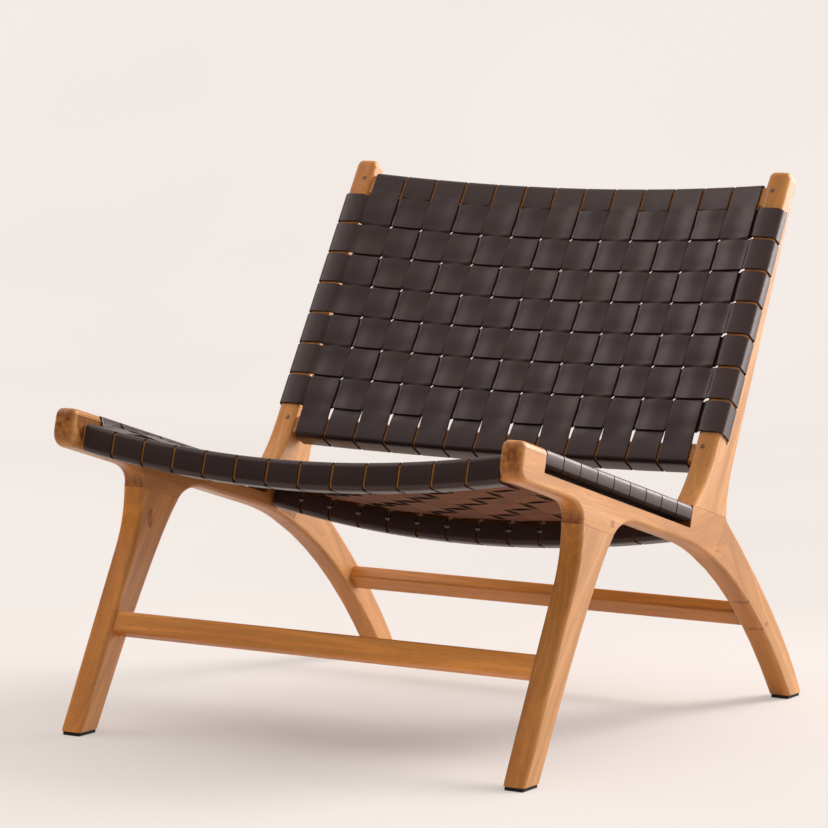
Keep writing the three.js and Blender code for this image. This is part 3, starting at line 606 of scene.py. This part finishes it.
def strap_object(name, web, stations, edges, lengthwise, slot_shade_stations=0):
    """A given number of stations at each end lie in the slot and take the cut edge's dark material as painted
    shade.
    """
    width = edges[1] - edges[0]
    ring, faces_of_ring = ring_points(width)
    size = len(ring)
    verts, length, before = [], 0.0, None
    for at in stations:
        for across, through in ring:
            # Lengthwise straps run with the web, cross straps from -X, so their left edge is the upper one
            side = edges[0] + across if lengthwise else edges[1] - across
            run, v, normal, bulge = at(side)
            run, v = run + normal.x * through, v + normal.y * through
            side += bulge * (2 * side - edges[0] - edges[1]) / width
            verts.append(web.place(side, run, v) if lengthwise else web.place(run, side, v))
        run, v = at((edges[0] + edges[1]) / 2)[:2]
        if before:
            length += math.dist(before, (run, v))
        before = (run, v)
    faces, kinds = [], []
    for index in range(len(stations) - 1):
        for k in range(size):
            a, b = index * size + k, index * size + (k + 1) % size
            faces.append((a, b, b + size, a + size))
            # Stations in the slot take the cut edge's dark material, as painted shade
            in_slot = index < slot_shade_stations or index >= len(stations) - 1 - slot_shade_stations
            kinds.append(CUT if in_slot else faces_of_ring[k])
    last = (len(stations) - 1) * size
    faces += [tuple(range(size))[::-1], tuple(range(last, last + size))]
    kinds += [CUT, CUT]
    mesh = bpy.data.meshes.new(name)
    mesh.from_pydata(verts, [], faces)
    for material in (hide, flesh, cut, rim):
        mesh.materials.append(material)
    mesh.polygons.foreach_set("material_index", kinds)
    mesh.polygons.foreach_set("use_smooth", [True] * len(faces))
    set_attribute(mesh, "tone", "FLOAT", [rng.uniform(*STRAP_TONES)] * len(verts))
    mesh.set_sharp_from_angle(angle=STRAP_EDGE_ANGLE)
    piece = new_object(f"{name}_leather", mesh)
    finish_piece(piece, [name])


for column in range(COLUMNS):
    stations, edges = long_stations(seat, column, True)
    strap_object(f"seat_strap_long_{column + 1:02d}", seat, stations, edges, True)
    stations, edges = long_stations(back, column, False)
    strap_object(f"back_strap_upright_{column + 1:02d}", back, stations, edges, True)
for row in range(seat.rows):
    stations, edges = cross_stations(seat, row, seat_side)
    strap_object(f"seat_strap_cross_{row + 1:02d}", seat, stations, edges, False,
                 SLOT_SHADE_STATION_COUNT)
for row in range(back.rows):
    stations, edges = cross_stations(back, row, back_side)
    strap_object(f"back_strap_cross_{row + 1:02d}", back, stations, edges, False)


# Wood: the solids with rounded edges
def seat_coordinates(point):
    offset = point / MM - SEAT_ORIGIN
    return offset.dot(seat.along), -offset.dot(seat.front)


def back_coordinates(point):
    offset = point / MM - back.origin
    return offset.dot(back.along), -offset.dot(back.front)


def in_any(along, depth, zones):
    return any(a < along < b and low < depth < high for (a, b), (low, high) in zones)


def on_joint(point):
    """Whether a point lies in a joint between two boards of a side frame."""
    s, d = seat_coordinates(point)
    from_rear = abs((REAR_JOINT_TOP - s) * REAR_JOINT_FALL - d * REAR_JOINT_RUN) / REAR_JOINT_LENGTH
    on_rear = from_rear < REAR_JOINT_NEAR and REAR_JOINT_DEPTH[0] < d < REAR_JOINT_DEPTH[1]
    return on_rear or in_any(s, d, LEG_AND_POST_JOINTS)


def in_rail_seat(point):
    """Whether a point lies where a rail meets the inner face of a board."""
    on_seat = in_any(*seat_coordinates(point), SEAT_RAIL_ENDS)
    return on_seat or in_any(*back_coordinates(point), BACK_RAIL_ENDS)


def outline_round(point):
    """Rounding of a board's outline at a point: fuller on the noses and the tops of the posts."""
    s, d = seat_coordinates(point)
    if s < NOSE_LENGTH and d < NOSE_DEPTH:
        return NOSE_ROUND
    if s < NOSE_FADE:
        return smooth(NOSE_ROUND, EDGE_ROUND, s / NOSE_FADE)
    into_top = back_coordinates(point)[0] - POST_LENGTH + POST_TOP_LENGTH
    return smooth(EDGE_ROUND, POST_TOP_ROUND, into_top / POST_TOP_FADE)


def edge_round(edge, stretcher_boxes):
    """Rounding of an edge of a side-frame board in millimetres."""
    a, b = (v.co for v in edge.verts)
    if len(edge.link_faces) != 2 or edge.calc_face_angle(0) < ROUND_ANGLE:
        return 0.0
    middle = (a + b) / 2

    def on_plane(plane):
        return all(abs(abs(p.x) / MM - plane) < ON_FACE for p in (a, b))

    s, d = seat_coordinates(middle)
    in_slot = in_any(s, d, SLOT_EDGES)
    on_bar = in_slot and d < BAR_BOTTOM + 1
    if on_bar and on_plane(OUTER - RECESS):
        return BAR_ROUND
    if on_bar and on_plane(INNER):
        return BAR_INNER_ROUND
    if in_slot or (on_joint(a) and on_joint(b)) or in_rail_seat(middle):
        return 0.0
    if max(a.z, b.z) < FOOT_HEIGHT * MM:
        return 0.0
    for low, high in stretcher_boxes:
        if all(low[k] - MM < middle[k] < high[k] + MM for k in (1, 2)):
            return 0.0
    if not on_plane(INNER) and not on_plane(OUTER):
        return 0.0
    if on_plane(OUTER) and in_any(*back_coordinates(middle), GROOVE_EDGES):
        return 0.0
    return outline_round(middle)


def apply_modifier(piece, kind, **settings):
    """Adds a modifier and keeps its result as the piece's mesh."""
    modifier = piece.modifiers.new(kind.lower(), kind)
    for key, value in settings.items():
        setattr(modifier, key, value)
    graph = bpy.context.evaluated_depsgraph_get()
    made = bpy.data.meshes.new_from_object(piece.evaluated_get(graph), preserve_all_data_layers=True,
                                           depsgraph=graph)
    piece.modifiers.clear()
    piece.data = made


def sand_corner(mesh):
    """Rounds the side rail's corner where it meets the post and the rear leg."""
    work = bmesh.new()
    work.from_mesh(mesh)
    corners = []
    for vertex in work.verts:
        s, d = seat_coordinates(vertex.co)
        if abs(s - RAIL_LENGTH) < ON_CORNER and abs(d) < ON_CORNER:
            corners.append(vertex)
    bmesh.ops.bevel(work, geom=corners, offset=EDGE_ROUND * MM, offset_type="OFFSET", segments=4,
                    profile=0.5, affect="VERTICES")
    work.to_mesh(mesh)
    work.free()


def weld(mesh):
    """Merges points that rounding left on top of each other."""
    work = bmesh.new()
    work.from_mesh(mesh)
    bmesh.ops.remove_doubles(work, verts=work.verts, dist=WELD)
    bmesh.ops.dissolve_degenerate(work, edges=work.edges, dist=SLIVER)
    work.to_mesh(mesh)
    work.free()


def straight_grain(origin, along, shift):
    """Grain that runs straight: metres along, across and through the board."""
    along = along.normalized()
    across = along.cross(Vector((1, 0, 0)))
    across = across.normalized() if across.length > 0.1 else Vector((0, 1, 0))
    through = along.cross(across)

    def at(point):
        offset = point - origin
        return Vector((offset.dot(along), offset.dot(across), offset.dot(through))) + shift
    return at


def curved_grain(line, shift):
    """Grain that follows a line of points in the side frame's plane."""
    lengths = [0.0]
    for a, b in zip(line, line[1:]):
        lengths.append(lengths[-1] + (b - a).length)

    def at(point):
        flat = Vector((0, point.y, point.z))
        best = None
        for index, (a, b) in enumerate(zip(line, line[1:])):
            step = b - a
            share = (flat - a).dot(step) / step.length_squared
            share = share if index in (0, len(line) - 2) else min(1.0, max(0.0, share))
            reach = (flat - a - step * share).length
            if best is None or reach < best[0]:
                side = step.cross(flat - a).x
                best = (reach, lengths[index] + share * step.length, math.copysign(reach, side))
        return Vector((best[1], best[2], point.x)) + shift
    return at


def end_grain_and_slot_shade(centre, normal):
    """How much of a side rail's face is end grain, and painted shade in the slot that the straps pass
    through.
    """
    if in_any(*seat_coordinates(centre), SLOT_SHADE_FACES):
        return SLOT_PAINTED_SHADE
    return smooth(0.0, 1.0, -normal.dot(seat.along)) ** 2


def painted_light_tint(normal):
    """Painted light by face direction: broad and rear faces get a paler tint as a painted sheen, front edges
    a redder tint as painted shade.
    """
    return PAINTED_SHADE_TINT.lerp(PAINTED_SHEEN_TINT, max(normal.x ** 2, normal.y))


def new_shift():
    return Vector([rng.uniform(-4, 4) for _ in range(3)])


def wood_piece(name, grain_at, rounded=False):
    """A wood node's solid with rounded edges and a grain direction."""
    work = bmesh.new()
    work.from_mesh(nodes[name].data)
    bmesh.ops.remove_doubles(work, verts=work.verts, dist=SLIVER)
    bmesh.ops.dissolve_limit(work, angle_limit=JOIN_ANGLE, verts=work.verts, edges=work.edges)
    if rounded:
        layer = work.edges.layers.float.new("bevel_weight_edge")
        for edge in work.edges:
            edge[layer] = edge_round(edge, stretcher_boxes) / LARGEST_ROUND
    mesh = bpy.data.meshes.new(f"{name}_wood")
    work.to_mesh(mesh)
    work.free()
    piece = new_object(f"{name}_wood", mesh)
    if rounded:
        apply_modifier(piece, "BEVEL", limit_method="WEIGHT", width=LARGEST_ROUND * MM, segments=5,
                       use_clamp_overlap=False)
    is_rail = name.startswith("side_rail")
    if is_rail:
        sand_corner(piece.data)
    weld(piece.data)
    piece.data.polygons.foreach_set("use_smooth", [True] * len(piece.data.polygons))
    piece.data.set_sharp_from_angle(angle=WOOD_EDGE_ANGLE)
    apply_modifier(piece, "WEIGHTED_NORMAL", keep_sharp=True)
    mesh = piece.data
    mesh.materials.clear()
    mesh.materials.append(teak)
    values = [grain_at(vertex.co) for vertex in mesh.vertices]
    set_attribute(mesh, "grain", "FLOAT_VECTOR", values)
    ends_and_slot_shade = [end_grain_and_slot_shade(face.center, face.normal) if is_rail else 0.0 for face in mesh.polygons]
    set_attribute(mesh, "end", "FLOAT", ends_and_slot_shade, "FACE")
    # Each face's tone is painted light: the board's painted brightness times a painted sheen on broad and
    # rear faces and painted shade on front edges
    board = BOARD_PAINTED_LIGHT.get(name, 1.0)
    tones = [painted_light_tint(face.normal) * board for face in mesh.polygons]
    set_attribute(mesh, "tone", "FLOAT_VECTOR", tones, "FACE")
    finish_piece(piece, [name])


def rear_grain_line():
    """Middle line of a side rail and its arched rear leg."""
    joint = seat.place(0, RAIL_LENGTH - REAR_JOINT_RUN / 2, -REAR_JOINT_FALL / 2)
    heel = seat.place(0, RAIL_LENGTH, 0) + Vector((0, HEEL_REACH, 0)) * MM
    foot = Vector((0, heel.y - HEEL_TO_FOOT * MM, FOOT_LIFT * MM))
    bend = joint + seat.along * ARCH_BEND * MM
    line = [seat.place(0, 0, -RAIL_MIDDLE), seat.place(0, RAIL_LENGTH - ARCH_START, -RAIL_MIDDLE)]
    for step in range(ARCH_STEPS + 1):
        share = step / ARCH_STEPS
        line.append(joint * (1 - share) ** 2 + bend * 2 * share * (1 - share) + foot * share ** 2)
    return line


stretcher_boxes = [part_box("front_stretcher"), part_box("rear_stretcher")]
rear_line = rear_grain_line()
for side in ("left", "right"):
    along_rail = curved_grain(rear_line, new_shift())
    wood_piece(f"side_rail_{side}", along_rail, True)
    wood_piece(f"rear_leg_{side}", along_rail, True)
    wood_piece(f"back_post_{side}", straight_grain(back.origin * MM, back.along, new_shift()), True)
    low, high = (Vector(corner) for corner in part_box(f"front_leg_{side}"))
    up_leg = Vector((0, high.y - low.y, high.z - low.z))
    wood_piece(f"front_leg_{side}", straight_grain(low, up_leg, new_shift()), True)
for name in ("front_seat_rail", "rear_seat_rail", "top_back_rail", "bottom_back_rail",
             "front_stretcher", "rear_stretcher"):
    low, high = (Vector(corner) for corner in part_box(name))
    wood_piece(name, straight_grain((low + high) / 2, Vector((1, 0, 0)), new_shift()))
for name in ("front_glide_left", "front_glide_right", "rear_glide_left", "rear_glide_right"):
    nodes[name].data.materials.clear()
    nodes[name].data.materials.append(rubber)


# Small fasteners
def add_dome(work, place, across, out, up, radius, height):
    """A domed head of the given radius on a face, with a short straight rim."""
    rings = [(1.0, -0.1), (1.0, 0.12), (0.92, 0.45), (0.7, 0.78), (0.38, 0.96)]
    steps, previous = 20, None
    for size, lift in rings:
        ring = []
        for step in range(steps):
            angle = 2 * math.pi * step / steps
            offset = across * math.cos(angle) * radius * size + up * math.sin(angle) * radius * size
            ring.append(work.verts.new((place + offset + out * height * lift) * MM))
        if previous:
            for k in range(steps):
                work.faces.new((previous[k], previous[(k + 1) % steps], ring[(k + 1) % steps], ring[k]))
        else:
            work.faces.new(ring[::-1])
        previous = ring
    crown = work.verts.new((place + out * height) * MM)
    for k in range(steps):
        work.faces.new((previous[k], previous[(k + 1) % steps], crown))


def fastener_object(name, places, out, up, radius, height, material):
    """One piece for all the heads of a row."""
    work = bmesh.new()
    for place in places:
        add_dome(work, place, Vector((1, 0, 0)), out, up, radius, height)
    bmesh.ops.recalc_face_normals(work, faces=work.faces)
    mesh = bpy.data.meshes.new(name)
    work.to_mesh(mesh)
    work.free()
    mesh.materials.append(material)
    mesh.polygons.foreach_set("use_smooth", [True] * len(mesh.polygons))
    set_attribute(mesh, "grain", "FLOAT_VECTOR", [v.co.xzy for v in mesh.vertices])
    set_attribute(mesh, "end", "FLOAT", [0.0] * len(mesh.polygons), "FACE")
    set_attribute(mesh, "tone", "FLOAT", [1.0] * len(mesh.polygons), "FACE")
    piece = new_object(name, mesh)
    finish_piece(piece, [])


def tack_places(web, part, tail_on_inner_face):
    """Places of the tacks, each on the seam between two straps."""
    places = []
    for column in range(COLUMNS - 1):
        x = (column_edges(column)[1] + column_edges(column + 1)[0]) / 2
        top = -web.depth(x, part["inner"]) - TO_WOOD
        proud = TO_WOOD + STRAP / 2
        if tail_on_inner_face:
            u, v = part["inner"] - part["out"] * proud, top - part["depth"] + SEAT_TAIL - SEAT_TACK
        else:
            u, v = part["inner"] + part["out"] * (BACK_TAIL + BACK_TACK), top - part["depth"] - proud
        places.append(web.place(x, u, v) / MM)
    return places


for name, part in (("rear_seat_tacks", seat.head), ("front_seat_tacks", seat.foot)):
    fastener_object(name, tack_places(seat, part, True), seat.along * -part["out"], seat.front,
                    TACK_RADIUS, TACK_HEIGHT, nickel)
for name, part in (("top_back_tacks", back.head), ("bottom_back_tacks", back.foot)):
    fastener_object(name, tack_places(back, part, False), -back.front, back.along,
                    TACK_RADIUS, TACK_HEIGHT, nickel)
plugs = [back.place(x, e, 0) / MM for x in (-PLUG_X, PLUG_X) for e in PLUG_PLACES]
fastener_object("post_plugs", plugs, back.front, back.along, PLUG_RADIUS, PLUG_HEIGHT, teak_plug)

# Floor, light and camera
FLOOR_FRONT, FLOOR_BACK, FLOOR_HALF, SWEEP, SWEEP_STEPS, WALL_TOP = -9.0, 6.0, 9.0, 2.5, 16, 8.0
PAPER = (0.88, 0.805, 0.755)
DARK_PAPER, LIGHT_PAPER = (0.87, 0.80, 0.755), (0.92, 0.85, 0.805)
FLOOR_GLOW, WALL_GLOW, GLOW_REACH, FLOOR_TONE, BOUNCE = 0.24, 1.0, 1.15, 0.88, 0.75
LAMP_COLOUR = (1.0, 0.985, 0.97)
DOME = [(0.0, (0.13, 0.126, 0.122)), (0.4, (0.3, 0.292, 0.284)), (0.95, (0.95, 0.93, 0.91))]
FOCAL_PIXELS, PICTURE_PIXELS, SENSOR = 3684.55, 828, 36
CAMERA_PLACE = (2.3004, -4.01489, 0.849)


def backdrop():
    """A floor that sweeps up into a wall. Part of its paper glows, so that it looks lit evenly."""
    profile = [(FLOOR_FRONT, 0.0), (FLOOR_BACK - SWEEP, 0.0)]
    for step in range(1, SWEEP_STEPS + 1):
        angle = math.pi / 2 * step / SWEEP_STEPS
        profile.append((FLOOR_BACK - SWEEP + SWEEP * math.sin(angle), SWEEP * (1 - math.cos(angle))))
    profile.append((FLOOR_BACK, WALL_TOP))
    verts = [(x, y, z) for y, z in profile for x in (-FLOOR_HALF, FLOOR_HALF)]
    faces = [(2 * k, 2 * k + 1, 2 * k + 3, 2 * k + 2) for k in range(len(profile) - 1)]
    mesh = bpy.data.meshes.new("backdrop")
    mesh.from_pydata(verts, [], faces)
    mesh.polygons.foreach_set("use_smooth", [True] * len(faces))
    material, tree, shader = new_material("backdrop_paper")
    where = node(tree, "ShaderNodeTexCoord").outputs["Object"]
    cloud = noise(tree, where, 0.6, 2.0)
    paper = ramp(tree, cloud, [(0.3, DARK_PAPER), (0.7, LIGHT_PAPER)])
    path = node(tree, "ShaderNodeLightPath").outputs
    bounced = mix_colour(tree, "MULTIPLY", 1.0, paper, (BOUNCE,) * 3)
    lit = mix_colour(tree, "MULTIPLY", 1.0, paper, (FLOOR_TONE,) * 3)
    tree.links.new(mix_colour(tree, "MIX", path["Is Camera Ray"], bounced, lit), shader.inputs["Base Color"])
    shader.inputs["Roughness"].default_value = 0.8
    shader.inputs["Specular IOR Level"].default_value = 0.1
    glow = node(tree, "ShaderNodeEmission")
    tree.links.new(paper, glow.inputs["Color"])
    seen = math_node(tree, "MAXIMUM", path["Is Camera Ray"], path["Is Glossy Ray"])
    seen = math_node(tree, "MAXIMUM", seen, path["Is Transmission Ray"])
    blend = node(tree, "ShaderNodeMixShader")
    reach = node(tree, "ShaderNodeVectorMath", operation="LENGTH")
    tree.links.new(where, reach.inputs[0])
    share_out = math_node(tree, "MULTIPLY", reach.outputs["Value"], 1 / GLOW_REACH)
    glow_share = grey(tree, share_out, 0.2, 1.0, FLOOR_GLOW, WALL_GLOW)
    tree.links.new(math_node(tree, "MULTIPLY", seen, glow_share), blend.inputs["Fac"])
    tree.links.new(shader.outputs["BSDF"], blend.inputs[1])
    tree.links.new(glow.outputs["Emission"], blend.inputs[2])
    tree.links.new(blend.outputs["Shader"], tree.nodes["Material Output"].inputs["Surface"])
    mesh.materials.append(material)
    floor = new_object("backdrop", mesh)


def area_light(name, place, target, size, power):
    data = bpy.data.lights.new(name, "AREA")
    data.shape = "DISK"
    data.size = size
    data.energy = power
    data.color = LAMP_COLOUR
    lamp = bpy.data.objects.new(name, data)
    bpy.context.scene.collection.objects.link(lamp)
    lamp.location = place
    lamp.visible_camera = False
    lamp.rotation_euler = (Vector(target) - Vector(place)).to_track_quat("-Z", "Y").to_euler()


backdrop()
area_light("key", place=(3.2, 3.2, 4.2), target=(0, 0, 0.3), size=2.8, power=250)
area_light("sheen", place=(2.2, 4.4, 1.2), target=(0.2, 0, 0.3), size=4.2, power=235)
area_light("fill", place=(-3.5, -0.6, 3.3), target=(0, 0.1, 0.4), size=2.6, power=30)
world = bpy.data.worlds.new("studio")
bpy.context.scene.world = world
world.use_nodes = True
sky = world.node_tree
direction = node(sky, "ShaderNodeSeparateXYZ")
sky.links.new(node(sky, "ShaderNodeTexCoord").outputs["Generated"], direction.inputs["Vector"])
dome = ramp(sky, direction.outputs["Z"], DOME)
ray = node(sky, "ShaderNodeLightPath").outputs["Is Camera Ray"]
sky.links.new(mix_colour(sky, "MIX", ray, dome, PAPER), sky.nodes["Background"].inputs["Color"])

camera_data = bpy.data.cameras.new("camera")
camera_data.sensor_width = SENSOR
camera_data.lens = FOCAL_PIXELS / PICTURE_PIXELS * SENSOR
camera_data.clip_end = 60
camera = bpy.data.objects.new("camera", camera_data)
bpy.context.scene.collection.objects.link(camera)
to_right = Vector((0.86301614, 0.50506985, 0.01037287))
to_low = Vector((0.05931112, -0.08091143, -0.99495504))
to_far = Vector((-0.50168251, 0.85927748, -0.09978413))
turn = Matrix((to_right, -to_low, -to_far)).transposed().to_4x4()
camera.matrix_world = Matrix.Translation(CAMERA_PLACE) @ turn
bpy.context.scene.camera = camera
bpy.context.scene.view_settings.view_transform = "Standard"
